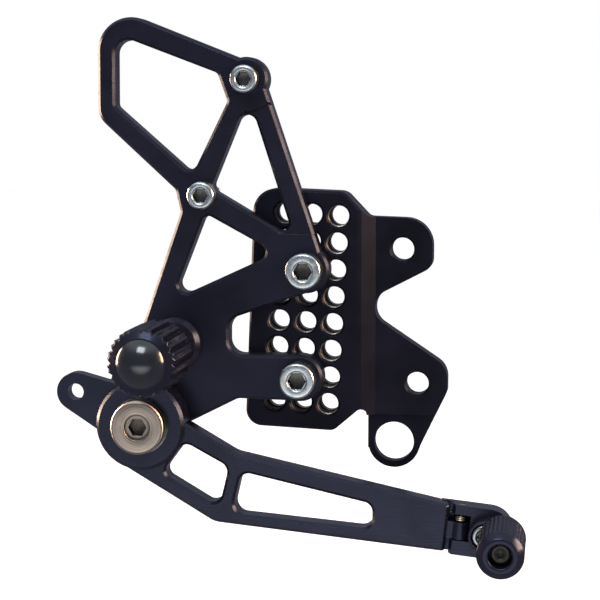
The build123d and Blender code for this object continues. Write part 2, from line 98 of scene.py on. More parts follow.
class Wiring:
    """A node tree under construction."""

    def __init__(self, tree):
        self.tree = tree

    def put(self, socket, value):
        """Link an output to an input socket, or set the input's own value."""
        if isinstance(value, bpy.types.NodeSocket):
            self.tree.links.new(value, socket)
        else:
            socket.default_value = value

    def node(self, kind, inputs=(), **settings):
        node = self.tree.nodes.new(kind)
        for name, value in settings.items():
            setattr(node, name, value)
        for name, value in dict(inputs).items():
            self.put(node.inputs[name], value)
        return node

    def math(self, operation, *values):
        node = self.node("ShaderNodeMath", operation=operation)
        for socket, value in zip(node.inputs, values):
            self.put(socket, value)
        return node.outputs[0]

    def ramp(self, value, low, high, to_low=0.0, to_high=1.0):
        """to_low up to low, to_high from high, and a straight slope between them."""
        node = self.node("ShaderNodeMapRange", {
            "Value": value, "From Min": low, "From Max": high, "To Min": to_low, "To Max": to_high})
        return node.outputs["Result"]

    def blend(self, amount, first, second):
        """A mix of two colours."""
        node = self.node("ShaderNodeMix", data_type="RGBA")
        self.put(node.inputs["Factor"], amount)
        self.put(node.inputs[6], (*first, 1) if isinstance(first, tuple) else first)
        self.put(node.inputs[7], (*second, 1) if isinstance(second, tuple) else second)
        return node.outputs[2]


class Tree(Wiring):
    """A Geometry Nodes tree that ends in a painted mesh."""

    def __init__(self, name):
        super().__init__(bpy.data.node_groups.new(name, "GeometryNodeTree"))
        for direction in ("OUTPUT", "INPUT"):
            self.tree.interface.new_socket("Geometry", in_out=direction, socket_type="NodeSocketGeometry")
        self.entry = self.tree.nodes.new("NodeGroupInput")
        self.geometry = self.entry.outputs["Geometry"]

    def input(self, name, default, kind="NodeSocketFloat"):
        socket = self.tree.interface.new_socket(name, in_out="INPUT", socket_type=kind)
        if default is not None:
            socket.default_value = default
        return self.entry.outputs[name]

    def zigzag(self, value):
        """A triangle wave of period 1 between 0 and 1."""
        return self.math("MULTIPLY", self.math("PINGPONG", value, 0.5), 2.0)

    def finish(self, geometry):
        """End the tree in Realize Instances and Set Material."""
        material = self.input("Material", None, "NodeSocketMaterial")
        real = self.node("GeometryNodeRealizeInstances", {"Geometry": geometry})
        painted = self.node("GeometryNodeSetMaterial", {"Geometry": real.outputs[0], "Material": material})
        self.node("NodeGroupOutput", {"Geometry": painted.outputs[0]})
        return self.tree


class Carver(Tree):
    """A tree that cuts into a turned piece, by a depth that depends on angle and level."""

    def __init__(self, name):
        super().__init__(name)
        axis_x, axis_z = self.input("Axis X", 0.0), self.input("Axis Z", 0.0)
        position = self.node("GeometryNodeInputPosition").outputs[0]
        place = self.node("ShaderNodeSeparateXYZ", {"Vector": position})
        self.axis = (axis_x, axis_z)
        self.across = self.math("SUBTRACT", place.outputs["X"], axis_x)
        self.up = self.math("SUBTRACT", place.outputs["Z"], axis_z)
        self.y = place.outputs["Y"]
        self.level = self.math("MULTIPLY", self.y, -1.0)
        squares = self.math("MULTIPLY_ADD", self.across, self.across, self.math("POWER", self.up, 2.0))
        self.radius = self.math("SQRT", squares)
        self.turn = self.math("DIVIDE", self.math("ARCTAN2", self.up, self.across), math.tau)

    def within(self, start, end, fade):
        """1 between two levels, fading to 0 just outside them."""
        rise = self.ramp(self.level, self.math("SUBTRACT", start, fade), start)
        fall = self.ramp(self.level, self.math("ADD", end, fade), end)
        return self.math("MULTIPLY", rise, fall)

    def outside(self, radius):
        """1 on the surface at a radius or further out, and 0 within it."""
        return self.math("GREATER_THAN", self.radius, self.math("SUBTRACT", radius, 0.1 * MM))

    def carve(self, cut):
        """Move each point towards the axis by the cut."""
        safe = self.math("MAXIMUM", self.radius, 0.1 * MM)
        keep = self.math("SUBTRACT", 1.0, self.math("DIVIDE", cut, safe))
        moved = self.node("ShaderNodeCombineXYZ", {
            "X": self.math("MULTIPLY_ADD", self.across, keep, self.axis[0]),
            "Y": self.y,
            "Z": self.math("MULTIPLY_ADD", self.up, keep, self.axis[1]),
        })
        placed = self.node("GeometryNodeSetPosition", {
            "Geometry": self.geometry, "Position": moved.outputs[0]})
        return self.finish(placed.outputs[0])


def screw_tree():
    """A helical thread on the shank and a straight knurl round the head."""
    tree = Carver("Screw thread and knurl")
    radius = tree.input("Thread Radius", 4 * MM)
    start, end = tree.input("Thread Start", 0.0), tree.input("Thread End", 0.01)
    pitch, depth = tree.input("Pitch", 1.25 * MM), tree.input("Thread Depth", 0.7 * MM)
    head, low, high = (tree.input(name, 0.0) for name in ("Head Radius", "Knurl Start", "Knurl End"))
    teeth, groove = tree.input("Knurl Teeth", 48.0), tree.input("Knurl Depth", 0.2 * MM)
    phase = tree.math("ADD", tree.math("DIVIDE", tree.level, pitch), tree.turn)
    flank = tree.ramp(tree.zigzag(phase), 0.14, 0.86)
    here = tree.math("MULTIPLY", tree.within(start, end, pitch), tree.outside(radius))
    thread = tree.math("MULTIPLY", tree.math("MULTIPLY", flank, depth), here)
    ridge = tree.zigzag(tree.math("MULTIPLY", tree.turn, teeth))
    there = tree.math("MULTIPLY", tree.within(low, high, 0.3 * MM), tree.outside(head))
    knurl = tree.math("MULTIPLY", tree.math("MULTIPLY", ridge, groove), there)
    return tree.carve(tree.math("ADD", thread, knurl))


def grip_tree():
    """Flutes, a dip along each land, and sharp teeth across the lands."""
    tree = Carver("Grip of flutes and teeth")
    radius = tree.input("Grip Radius", 12 * MM)
    start, end = tree.input("Grip Start", 0.05), tree.input("Grip End", 0.08)
    flutes, flute_depth = tree.input("Flutes", 16.0), tree.input("Flute Depth", 1.3 * MM)
    dip_depth = tree.input("Dip Depth", 0.35 * MM)
    pitch, depth = tree.input("Tooth Pitch", 1.3 * MM), tree.input("Tooth Depth", 0.5 * MM)
    wave = tree.zigzag(tree.math("MULTIPLY", tree.turn, flutes))
    bank = tree.math("SUBTRACT", 1.0, tree.ramp(wave, 0.0, 0.46))
    bowl = tree.math("SQRT", bank)
    dip = tree.math("POWER", tree.ramp(wave, 0.66, 1.0), 0.7)
    tooth = tree.zigzag(tree.math("DIVIDE", tree.math("SUBTRACT", tree.level, start), pitch))
    teeth = tree.math("MULTIPLY", tree.ramp(wave, 0.40, 0.52), tree.within(start, end, 0.9 * MM))
    cut = tree.math("MULTIPLY", bowl, flute_depth)
    cut = tree.math("MULTIPLY_ADD", dip, dip_depth, cut)
    cut = tree.math("MULTIPLY_ADD", tree.math("MULTIPLY", tooth, depth), teeth, cut)
    above = tree.math("SUBTRACT", tree.radius, tree.math("SUBTRACT", radius, cut))
    return tree.carve(tree.math("MAXIMUM", above, 0.0))


def knurl_tree():
    """Rows of small square pyramids with flat tops."""
    tree = Carver("Square knurl")
    radius = tree.input("Knurl Radius", 8 * MM)
    start, end = tree.input("Knurl Start", 0.04), tree.input("Knurl End", 0.06)
    teeth, pitch = tree.input("Teeth Round", 30.0), tree.input("Tooth Pitch", 1.7 * MM)
    depth, crest = tree.input("Tooth Depth", 0.6 * MM), tree.input("Crest", 0.3)
    across = tree.zigzag(tree.math("MULTIPLY", tree.turn, teeth))
    along = tree.zigzag(tree.math("DIVIDE", tree.math("SUBTRACT", tree.level, start), pitch))
    slope = tree.ramp(tree.math("MAXIMUM", across, along), crest, 0.92)
    here = tree.math("MULTIPLY", tree.within(start, end, 0.3 * MM), tree.outside(radius))
    return tree.carve(tree.math("MULTIPLY", tree.math("MULTIPLY", slope, depth), here))


def tapping_tree():
    """A thread's helix in every hole: the object's points are the holes' inboard centres."""
    tree = Tree("Tapped holes")
    radius, height = tree.input("Hole Radius", 4 * MM), tree.input("Depth", 14 * MM)
    pitch, ridge = tree.input("Pitch", 1.25 * MM), tree.input("Ridge", 0.4 * MM)
    helix = tree.node("GeometryNodeCurveSpiral", {
        "Resolution": 22, "Rotations": tree.math("DIVIDE", height, pitch),
        "Start Radius": radius, "End Radius": radius, "Height": height})
    section = tree.node("GeometryNodeCurvePrimitiveCircle", {"Resolution": 4, "Radius": ridge})
    wire = tree.node("GeometryNodeCurveToMesh", {
        "Curve": helix.outputs[0], "Profile Curve": section.outputs[0], "Fill Caps": True})
    placed = tree.node("GeometryNodeInstanceOnPoints", {
        "Points": tree.geometry, "Instance": wire.outputs[0], "Rotation": (math.pi / 2, 0.0, 0.0)})
    return tree.finish(placed.outputs[0])


def shaped(obj, group, material, values):
    """Run a tree on an object and keep its result as a plain mesh, with no modifier left."""
    modifier = obj.modifiers.new("Shape", "NODES")
    modifier.node_group = group
    sockets = {s.name: s.identifier for s in group.interface.items_tree if s.in_out == "INPUT"}
    for name, value in {**values, "Material": material}.items():
        modifier[sockets[name]] = value
    result = obj.evaluated_get(bpy.context.evaluated_depsgraph_get())
    mesh = bpy.data.meshes.new_from_object(result)
    obj.modifiers.remove(modifier)
    obj.data = mesh
    return smoothed(obj)


# Turned meshes

def softened(profile, size=SOFT_EDGE):
    """A profile with a small round at each corner. Its points are (radius, level, half flats)."""
    points = [profile[0]]
    for before, here, after in zip(profile, profile[1:], profile[2:]):
        corner = Vector(here[:2])
        legs = [Vector(p[:2]) - corner for p in (before, after)]
        if min(leg.length for leg in legs) < 1e-6 or abs(math.pi - legs[0].angle(legs[1])) < 0.3:
            points.append(here)
            continue
        ends = [corner + leg.normalized() * min(size, leg.length * 0.4) for leg in legs]
        middle = corner * 0.5 + (ends[0] + ends[1]) * 0.25
        points += [(*point, here[2]) for point in (ends[0], middle, ends[1])]
    return [*points, profile[-1]]


def rows(radius, start, end, step):
    """Profile points along a straight cylinder, close enough for a pattern on it."""
    count = max(1, round(abs(end - start) / step))
    return [(radius, start + (end - start) * i / count, 0) for i in range(count + 1)]


def flat_radius(radius, flats, angle):
    """A turned radius cut by a hexagon, where flats is the distance from the axis to a flat."""
    if not flats:
        return radius
    return min(radius, flats / math.cos(angle % (math.pi / 3) - math.pi / 6))


def lathe(mesh, axis, profile, columns, closed=False):
    """Add a turned solid to a bmesh. An open profile starts and ends on the axis."""
    angles = [math.tau * i / columns for i in range(columns)]
    rings = []
    for radius, level, flats in profile:
        if radius < 1e-7:
            rings.append([mesh.verts.new((axis[0], -level, axis[1]))] * columns)
            continue
        reach = [flat_radius(radius, flats, angle) for angle in angles]
        rings.append([mesh.verts.new((axis[0] + r * math.cos(a), -level, axis[1] + r * math.sin(a)))
                      for r, a in zip(reach, angles)])
    pairs = list(zip(rings, rings[1:]))
    if closed:
        pairs.append((rings[-1], rings[0]))
    for first, second in pairs:
        for i in range(columns):
            j = (i + 1) % columns
            corners = dict.fromkeys((first[i], first[j], second[j], second[i]))
            if len(corners) > 2:
                mesh.faces.new(list(corners))


def made(name, mesh):
    """A linked object with a bmesh's mesh."""
    data = bpy.data.meshes.new(name)
    mesh.to_mesh(data)
    mesh.free()
    obj = bpy.data.objects.new(name, data)
    bpy.context.scene.collection.objects.link(obj)
    return obj


def turned(name, axis, profile, columns, closed=False):
    """An object that is one turned solid."""
    mesh = bmesh.new()
    lathe(mesh, axis, profile, columns, closed)
    bmesh.ops.recalc_face_normals(mesh, faces=mesh.faces)
    return smoothed(made(name, mesh))


def smoothed(obj):
    """Smooth shading, broken at sharp edges."""
    obj.data.polygons.foreach_set("use_smooth", [True] * len(obj.data.polygons))
    obj.data.set_sharp_from_angle(angle=SMOOTH_ANGLE)
    return obj


def settle(obj, body, slot, *nodes):
    """Say what a finished piece rides on and which nodes it stands for, and hide those nodes. The slot
    argument is not used.
    """
    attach(obj, body)
    if nodes:
        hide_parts(*nodes)


# Materials

class Paint(Wiring):
    """A material's node tree under construction, round one Principled shader."""

    def __init__(self, name):
        self.material = bpy.data.materials.new(f"{name}_finish")
        self.material.use_nodes = True
        super().__init__(self.material.node_tree)
        self.shader = self.tree.nodes["Principled BSDF"]
        self.place = self.node("ShaderNodeTexCoord").outputs["Object"]

    def set(self, **values):
        """Uniform values on the shader's own sockets."""
        for name, value in values.items():
            self.shader.inputs[name.replace("_", " ")].default_value = value

    def noise(self, size, detail=3.0, stretch=(1, 1, 1), turn=0.0):
        """Noise whose features are about a size in metres, longer along a stretched axis."""
        vector = self.place
        if turn or stretch != (1, 1, 1):
            mapping = self.node("ShaderNodeMapping", {
                "Vector": vector, "Rotation": (0.0, turn, 0.0), "Scale": tuple(1 / s for s in stretch)})
            vector = mapping.outputs[0]
        texture = self.node("ShaderNodeTexNoise", {"Vector": vector, "Scale": 1 / size, "Detail": detail})
        return texture.outputs["Fac"]

    def edges(self, radius):
        """1 along sharp edges, and 0 on flats."""
        bevel = self.node("ShaderNodeBevel", {"Radius": radius}, samples=4).outputs[0]
        true = self.node("ShaderNodeNewGeometry").outputs["Normal"]
        dot = self.node("ShaderNodeVectorMath", {0: bevel, 1: true}, operation="DOT_PRODUCT")
        return self.ramp(self.math("SUBTRACT", 1.0, dot.outputs["Value"]), 0.03, 0.22)

    def recess(self, reach, low, high):
        """0 deep inside a recess narrower than the reach, and 1 in the open."""
        shade = self.node("ShaderNodeAmbientOcclusion", {"Distance": reach}, samples=6)
        return self.ramp(shade.outputs["AO"], low, high)

    def bump(self, height, strength, distance, normal=None):
        values = {"Height": height, "Strength": strength, "Distance": distance}
        if normal is not None:
            values["Normal"] = normal
        return self.node("ShaderNodeBump", values).outputs[0]

    def offset(self, axis):
        """The distances forward of and above an outboard axis, in metres."""
        split = self.node("ShaderNodeSeparateXYZ", {"Vector": self.place})
        return tuple(self.math("SUBTRACT", split.outputs[name], at) for name, at in zip("XZ", axis))

    def around(self, axis):
        """The direction of a lathe's tool marks about an outboard axis."""
        across, up = self.offset(axis)
        turn = self.node("ShaderNodeCombineXYZ", {"X": self.math("MULTIPLY", up, -1.0), "Z": across})
        return self.node("ShaderNodeVectorMath", {0: turn.outputs[0]}, operation="NORMALIZE").outputs[0]

    def rings(self, axis):
        """The distance from an outboard axis, in metres."""
        across, up = self.offset(axis)
        return self.math("SQRT", self.math("MULTIPLY_ADD", across, across, self.math("POWER", up, 2.0)))


RECESS_SHADE = (0.050, 0.046, 0.036)  # Painted shade: the dark colour blended in deep in a recess, where shade falls


def anodised(name, colours, roughness, grain=0.16 * MM, tool_turn=0.0, gloss=1.0):
    """Bead-blasted and dyed aluminium: fine grain, cloudy dye, tool lines, and edges lighter in patches,
    partly rubbed dye and partly painted highlight.
    """
    paint = Paint(name)
    cloud = paint.ramp(paint.noise(22 * MM, 4.0), 0.35, 0.68)
    dye = paint.blend(cloud, colours.dye_deep[:], colours.dye_light[:])
    speck = paint.ramp(paint.noise(0.5 * MM, 2.0), 0.62, 0.78, 0.0, 0.25)
    dye = paint.blend(speck, dye, colours.dye_light[:])
    patchy = paint.ramp(paint.noise(1.4 * MM, 4.0), 0.46, 0.72)
    # Partly rubbed dye and partly painted highlight: a lighter tan colour in patches along sharp edges.
    rub_and_highlight = paint.math("MULTIPLY", paint.edges(0.3 * MM), patchy)
    paint.put(paint.shader.inputs["Base Color"], paint.blend(rub_and_highlight, dye, colours.worn_edge_highlight[:]))
    lines = paint.noise(0.5 * MM, 2.0, (26, 26, 1), tool_turn)
    smudge = paint.ramp(paint.noise(9 * MM, 5.0), 0.3, 0.75, roughness - 0.05, roughness + 0.07)
    rough = paint.math("ADD", smudge, paint.ramp(lines, 0.35, 0.65, -0.025, 0.025))
    rough = paint.math("SUBTRACT", rough, paint.math("MULTIPLY", rub_and_highlight, 0.08))
    paint.put(paint.shader.inputs["Roughness"], rough)
    soft = paint.node("ShaderNodeBevel", {"Radius": 0.22 * MM}, samples=4).outputs[0]
    normal = paint.bump(lines, 0.12, 0.03 * MM, soft)
    normal = paint.bump(paint.noise(grain, 2.0), 0.22, 0.03 * MM, normal)
    paint.put(paint.shader.inputs["Normal"], normal)
    paint.set(IOR=1.5, Specular_IOR_Level=colours.dye_gloss * gloss, Specular_Tint=(*colours.sheen, 1))
    return paint.material


def plated(name, first, second, roughness, metallic=1.0):
    """Plated or polished metal: cloudy passivation, fine scratches, a painted highlight along sharp edges and
    painted shade deep in recesses.
    """
    paint = Paint(name)
    cloud = paint.ramp(paint.noise(1.6 * MM, 5.0), 0.36, 0.66)
    colour = paint.blend(cloud, first, second)
    # Painted highlight: the colour is made lighter along sharp edges.
    edge = paint.math("MULTIPLY", paint.edges(0.25 * MM), 0.45)
    edge_highlight_tone = tuple(min(1.0, c * 1.25 + 0.03) for c in second)
    colour = paint.blend(edge, colour, edge_highlight_tone)
    # Painted shade: the colour darkens deep in sockets and other recesses.
    colour = paint.blend(paint.recess(7 * MM, 0.35, 0.85), RECESS_SHADE, colour)
    paint.put(paint.shader.inputs["Base Color"], colour)
    scratch = paint.ramp(paint.noise(0.12 * MM, 3.0, (14, 14, 1), 0.7), 0.55, 0.75, 0.0, 0.12)
    rough = paint.ramp(paint.noise(2.5 * MM, 4.0), 0.3, 0.7, roughness - 0.06, roughness + 0.09)
    paint.put(paint.shader.inputs["Roughness"], paint.math("ADD", rough, scratch))
    soft = paint.node("ShaderNodeBevel", {"Radius": 0.12 * MM}, samples=4).outputs[0]
    paint.put(paint.shader.inputs["Normal"], paint.bump(paint.noise(0.3 * MM, 3.0), 0.10, 0.02 * MM, soft))
    paint.set(Metallic=metallic)
    return paint.material


def turned_steel(name, axis, colours):
    """Stainless steel off the lathe: concentric tool marks of uneven spacing, with painted shade deep in
    recesses.
    """
    paint = Paint(name)
    distance = paint.rings(axis)
    uneven = paint.node("ShaderNodeTexNoise", {
        "W": paint.math("DIVIDE", distance, 0.35 * MM), "Scale": 1.0, "Detail": 4.0}, noise_dimensions="1D")
    marks = uneven.outputs["Fac"]
    colour = paint.blend(paint.ramp(marks, 0.35, 0.65), colours.steel_deep[:], colours.steel_light[:])
    stain = paint.ramp(paint.noise(3 * MM, 4.0), 0.5, 0.8, 0.0, 0.35)
    colour = paint.blend(stain, colour, colours.steel_deep[:])
    # Painted shade: the colour darkens deep in the socket and other recesses.
    colour = paint.blend(paint.recess(6 * MM, 0.45, 0.85), RECESS_SHADE, colour)
    paint.put(paint.shader.inputs["Base Color"], colour)
    paint.put(paint.shader.inputs["Roughness"], paint.ramp(marks, 0.3, 0.7, 0.24, 0.38))
    fine = paint.math("SINE", paint.math("MULTIPLY", distance, math.tau / (0.16 * MM)))
    soft = paint.node("ShaderNodeBevel", {"Radius": 0.15 * MM}, samples=4).outputs[0]
    normal = paint.bump(marks, 0.5, 0.03 * MM, soft)
    paint.put(paint.shader.inputs["Normal"], paint.bump(fine, 0.35, 0.006 * MM, normal))
    paint.put(paint.shader.inputs["Tangent"], paint.around(axis))
    paint.set(Metallic=1.0, Anisotropic=0.8)
    return paint.material


def moulded(name, first, second, roughness, gloss=0.5):
    """Moulded plastic or rubber: soft grain and a slight unevenness of shine."""
    paint = Paint(name)
    cloud = paint.ramp(paint.noise(6 * MM, 4.0), 0.35, 0.7)
    paint.put(paint.shader.inputs["Base Color"], paint.blend(cloud, first, second))
    scuff = paint.ramp(paint.noise(0.9 * MM, 5.0), 0.6, 0.8, 0.0, 0.12)
    rough = paint.ramp(paint.noise(4 * MM, 3.0), 0.3, 0.7, roughness - 0.03, roughness + 0.05)
    paint.put(paint.shader.inputs["Roughness"], paint.math("ADD", rough, scuff))
    paint.put(paint.shader.inputs["Normal"], paint.bump(paint.noise(0.4 * MM, 2.0), 0.08, 0.03 * MM))
    paint.set(Specular_IOR_Level=gloss)
    return paint.material


# Settings that a user would change

def length(name, description, default):
    """A length property, in metres."""
    return bpy.props.FloatProperty(name=name, description=description, default=default,
                                   min=0.0, max=0.5, precision=5, unit="LENGTH", subtype="DISTANCE")


def count(name, description, default):
    return bpy.props.IntProperty(name=name, description=description, default=default, min=3, max=200)


def tint(name, description, default):
    return bpy.props.FloatVectorProperty(name=name, description=description, default=default,
                                         min=0.0, max=1.0, size=3, subtype="COLOR")


class RearsetScrewSizes(bpy.types.PropertyGroup):
    """Sizes of the screws and nuts that the frame's boxes don't give."""
    m8_head: length("M8 head radius", "Radius of an M8 socket head", 6.5 * MM)
    m6_head: length("M6 head radius", "Radius of an M6 socket head", 5.0 * MM)
    thread_depth: bpy.props.FloatProperty(
        name="Thread depth", description="Depth of a thread over its pitch", default=0.56, min=0.1, max=0.8)
    hanger_face: length("Hanger face", "Level of the hanger's outboard face", levels_of("hanger_plate")[1])
    block_face: length("Block face", "Level of the adapter's outboard face", levels_of("adapter_plate")[1])
    hole_pitch: count("Grid rows between screws", "Hole rows from one hanger screw to the other", 4)


class RearsetGripSizes(bpy.types.PropertyGroup):
    """Sizes of the foot peg's grip and of the toe peg's knurl."""
    grip_length: length("Grip length", "Length of the foot peg's toothed grip", 30 * MM)
    grip_radius: length("Grip radius", "Radius of the foot peg over its teeth", 12.2 * MM)
    flutes: count("Flutes", "Flutes round the foot peg", 16)
    flute_depth: length("Flute depth", "Depth of a flute", 1.35 * MM)
    dip_depth: length("Dip depth", "Depth of the dip along each land", 0.45 * MM)
    tooth_pitch: length("Tooth pitch", "Distance between the teeth across a land", 1.3 * MM)
    tooth_depth: length("Tooth depth", "Depth of the teeth across a land", 0.5 * MM)
    knurl_round: count("Knurl teeth", "Square teeth round the toe peg", 30)
    knurl_pitch: length("Knurl pitch", "Distance between the toe peg's teeth along it", 1.7 * MM)
    knurl_depth: length("Knurl depth", "Depth of the toe peg's teeth", 0.6 * MM)


class RearsetFinishes(bpy.types.PropertyGroup):
    """Colours of the finishes."""
    dye_deep: tint("Dye, deep", "Darkest colour of the black dye", (0.0024, 0.0024, 0.0038))
    dye_light: tint("Dye, light", "Lightest colour of the black dye", (0.0056, 0.0052, 0.0105))
    # Partly the colour of rubbed dye and partly a painted highlight along sharp edges.
    worn_edge_highlight: tint("Worn edge", "Colour of the dye where an edge is rubbed", (0.060, 0.050, 0.045))
    sheen: tint("Dye sheen", "Tint of the dyed surface's reflections", (0.62, 0.68, 1.0))
    dye_gloss: bpy.props.FloatProperty(
        name="Dye gloss", description="Strength of the dyed surface's reflections", default=0.30, min=0.0,
        max=1.0, subtype="FACTOR")
    zinc_cool: tint("Zinc, cool", "Bluish tone of the zinc plating", (0.44, 0.50, 0.51))
    zinc_warm: tint("Zinc, warm", "Neutral tone of the zinc plating", (0.60, 0.61, 0.56))
    steel_deep: tint("Turned steel, deep", "Darker tone of the turned head", (0.26, 0.215, 0.165))
    steel_light: tint("Turned steel, light", "Lighter tone of the turned head", (0.50, 0.43, 0.35))


class RearsetStage(bpy.types.PropertyGroup):
    """The floor, the lights and the camera."""
    floor_gap: length("Floor gap", "How far the object hangs above the floor", 62 * MM)
    floor_tone: tint("Floor colour", "Colour of the plain floor", (0.80, 0.80, 0.81))
    camera_place: bpy.props.FloatVectorProperty(
        name="Camera", description="Where the camera stands", default=(0.054, -0.664, 0.072), size=3,
        unit="LENGTH", subtype="TRANSLATION")
    aim_drop: length("Aim drop", "How far below the object's middle the camera aims", 8 * MM)
    lens: bpy.props.FloatProperty(
        name="Lens", description="The camera's focal length, in millimetres", default=107.0, min=20.0,
        max=300.0)
    key: bpy.props.FloatProperty(
        name="Key light", description="Power of the overhead light", default=3.4, min=0.0, unit="POWER")
    warm: bpy.props.FloatProperty(
        name="Side lights", description="Power of the warm side lights", default=6.0, min=0.0, unit="POWER")


SETTINGS = {
    "rearset_screws": RearsetScrewSizes,
    "rearset_grips": RearsetGripSizes,
    "rearset_finishes": RearsetFinishes,
    "rearset_stage": RearsetStage,
}


# Screws, nuts and their threads

# A coarse thread's radius and pitch, and the distance from the axis to a flat of the socket of its screw
M8 = (4 * MM, 1.25 * MM, 3 * MM)
M6 = (3 * MM, 1.0 * MM, 2.5 * MM)
M5 = (2.5 * MM, 0.8 * MM, 2 * MM)
M4 = (2 * MM, 0.7 * MM, 1.5 * MM)
THREAD_GAP = 0.05 * MM
RELIEF_RADIUS = 2.65 * MM
PEG_SCREW_HEAD = 8 * MM
LINK_SCREW_HEAD = (4.25 * MM, 3.4 * MM)
TOE_SCREW_HEAD = (3.5 * MM, 4 * MM)


def screw_profile(radius, head, seat, top, tip, socket, relief, step):
    """A socket head cap screw's profile, from its socket's floor to its tip.

    relief is the radius of a reduced stretch under the head and the level where it ends.
    """
    corner = socket / math.cos(math.pi / 6)
    floor = top - (top - seat) * 0.55
    lead, rim_size = 0.35 * MM, 0.55 * MM
    front = [(0, floor - 0.6 * MM, 0), (socket * 0.9, floor, socket), (corner, floor, socket),
             (corner, top - lead, socket), (corner, top - lead, 0), (corner + lead, top, 0)]
    rim = [(head - rim_size, top, 0), (head, top - rim_size, 0)]
    side = rows(head, top - 0.8 * MM, seat + 0.5 * MM, 0.8 * MM)
    under = [(head - 0.2 * MM, seat, 0)]
    start = seat
    if relief:
        under += [(relief[0], seat, 0), (relief[0], relief[1] + 0.3 * MM, 0)]
        start = relief[1]
    shank = rows(radius, start, tip + 0.6 * MM, step)
    return softened(front + rim + side + under) + shank + [(radius - 0.6 * MM, tip, 0), (0, tip, 0)]


def threaded(obj, paint, axis, radius, pitch, span, sizes, head=None):
    """Cut the thread and the head's knurl of a screw, and give it its finish."""
    values = {
        "Axis X": axis[0], "Axis Z": axis[1], "Thread Radius": radius, "Pitch": pitch,
        "Thread Start": span[0], "Thread End": span[1], "Thread Depth": pitch * sizes.thread_depth,
        "Knurl Depth": 0.0,
    }
    if head:
        names = ("Head Radius", "Knurl Start", "Knurl End", "Knurl Teeth", "Knurl Depth")
        values.update(zip(names, head))
    group = bpy.data.node_groups.get("Screw thread and knurl") or screw_tree()
    return shaped(obj, group, paint, values)


def joined(name, parts):
    """One object from several, with its place in its mesh."""
    mesh = bmesh.new()
    for part in parts:
        mesh.from_mesh(part.data)
    material = parts[0].data.materials[0]
    for part in parts:
        bpy.data.objects.remove(part)
    obj = made(name, mesh)
    obj.data.materials.append(material)
    return smoothed(obj)


def cap_screw(name, axis, paint, sizes, thread, head, seat, node, relief=None, teeth=48):
    """A node's cap screw with its thread and its knurled head."""
    radius, pitch, socket = thread
    tip, top = levels_of(node)
    profile = screw_profile(radius, head, seat, top, tip, socket, relief, pitch / 5)
    obj = turned(name, axis, profile, teeth * 3)
    start = relief[1] if relief else seat - 2 * MM
    span = (tip + 0.2 * MM, start - pitch)
    knurled = (head, seat + 1.1 * MM, top - 1.3 * MM, float(teeth), 0.16 * MM)
    return threaded(obj, paint, axis, radius, pitch, span, sizes, knurled)


def nut_profile(bore, flats, low, high):
    """A hexagon nut with turned corners, as a closed profile."""
    corner = flats / math.cos(math.pi / 6)
    bevel = corner - flats
    face, lead = flats - 0.2 * MM, 0.4 * MM
    outer = [(face, high, 0), (corner, high - bevel * 0.6, flats), (corner, low + bevel * 0.6, flats),
             (face, low, 0)]
    inner = [(bore + lead, low, 0), (bore, low + lead, 0), (bore, high - lead, 0), (bore + lead, high, 0)]
    return outer + inner


class REARSET_OT_screws(bpy.types.Operator):
    """Make the socket head screws with their threads and knurled heads"""
    bl_idname = "rearset.screws"
    bl_label = "Socket screws"

    def execute(self, context):
        sizes = context.scene.rearset_screws
        zinc, oxide = bpy.data.materials["zinc_plate_finish"], bpy.data.materials["black_oxide_finish"]
        relief = (RELIEF_RADIUS, sizes.block_face - 0.2 * MM)
        for name, node, thread, head, neck, teeth in (
            ("hanger_screw", "hanger_bolts", M8, sizes.m8_head, None, 54),
            ("cylinder_screw", "cylinder_bolts", M6, sizes.m6_head, relief, 42),
        ):
            screws = [cap_screw(name, axis, zinc, sizes, thread, head, sizes.hanger_face, node, neck, teeth)
                      for axis in pair_of(node, head)]
            settle(joined(f"{name}s", screws), "bracket", "zinc_steel", node)
        for name, node, body, slot, paint, thread, (head, height), teeth in (
            ("peg_screw", "peg_bolt", "bracket", "zinc_steel", zinc, M8, (sizes.m8_head, PEG_SCREW_HEAD), 48),
            ("link_screw", "link_bolt", "tip", "zinc_steel", zinc, M5, LINK_SCREW_HEAD, 40),
            ("toe_peg_screw", "toe_peg_bolt", "toe_link", "black_oxide", oxide, M4, TOE_SCREW_HEAD, 36),
        ):
            seat = levels_of(node)[1] - height
            screw = cap_screw(name, axis_of(node), paint, sizes, thread, head, seat, node, None, teeth)
            settle(screw, body, slot, node)
        return {"FINISHED"}


class REARSET_OT_pivot(bpy.types.Operator):
    """Make the pedal's shouldered pivot screw with its large turned head"""
    bl_idname = "rearset.pivot"
    bl_label = "Pivot screw"

    def execute(self, context):
        sizes = context.scene.rearset_screws
        axis = axis_of("pivot_bolt")
        tip, top = levels_of("pivot_bolt")
        head, recess, flats = 10 * MM, 4.6 * MM, 3 * MM
        boss, shoulder, thread, pitch = 7.6 * MM, 6 * MM, 5 * MM, 1.5 * MM
        chamfer, lead = 0.8 * MM, 0.3 * MM
        seat, face = top - 5.2 * MM, top - 4.7 * MM
        corner = flats / math.cos(math.pi / 6)
        floor, step = top - 4.5 * MM, top - 1.5 * MM
        socket = [(0, floor - 0.8 * MM, 0), (flats * 0.9, floor, flats), (corner, floor, flats),
                  (corner, step, flats), (corner + 0.1 * MM, step, 0), (recess, step, 0)]
        rim = [(recess, top - lead, 0), (recess + lead, top, 0), (head - chamfer, top, 0),
               (head, top - chamfer, 0), (head, face, 0)]
        neck = [(boss, face, 0), (boss, seat, 0), (shoulder, seat, 0), (shoulder, sizes.hanger_face, 0)]
        shank = rows(thread, sizes.hanger_face, tip + chamfer, 0.3 * MM)
        shank += [(thread - chamfer, tip, 0), (0, tip, 0)]
        obj = turned("pivot_screw", axis, softened(socket + rim + neck) + shank, 96)
        span = (tip + 0.2 * MM, sizes.block_face - 1 * MM)
        steel = bpy.data.materials["turned_steel_finish"]
        obj = threaded(obj, steel, axis, thread, pitch, span, sizes)
        settle(obj, "bracket", "turned_steel", "pivot_bolt")
        return {"FINISHED"}


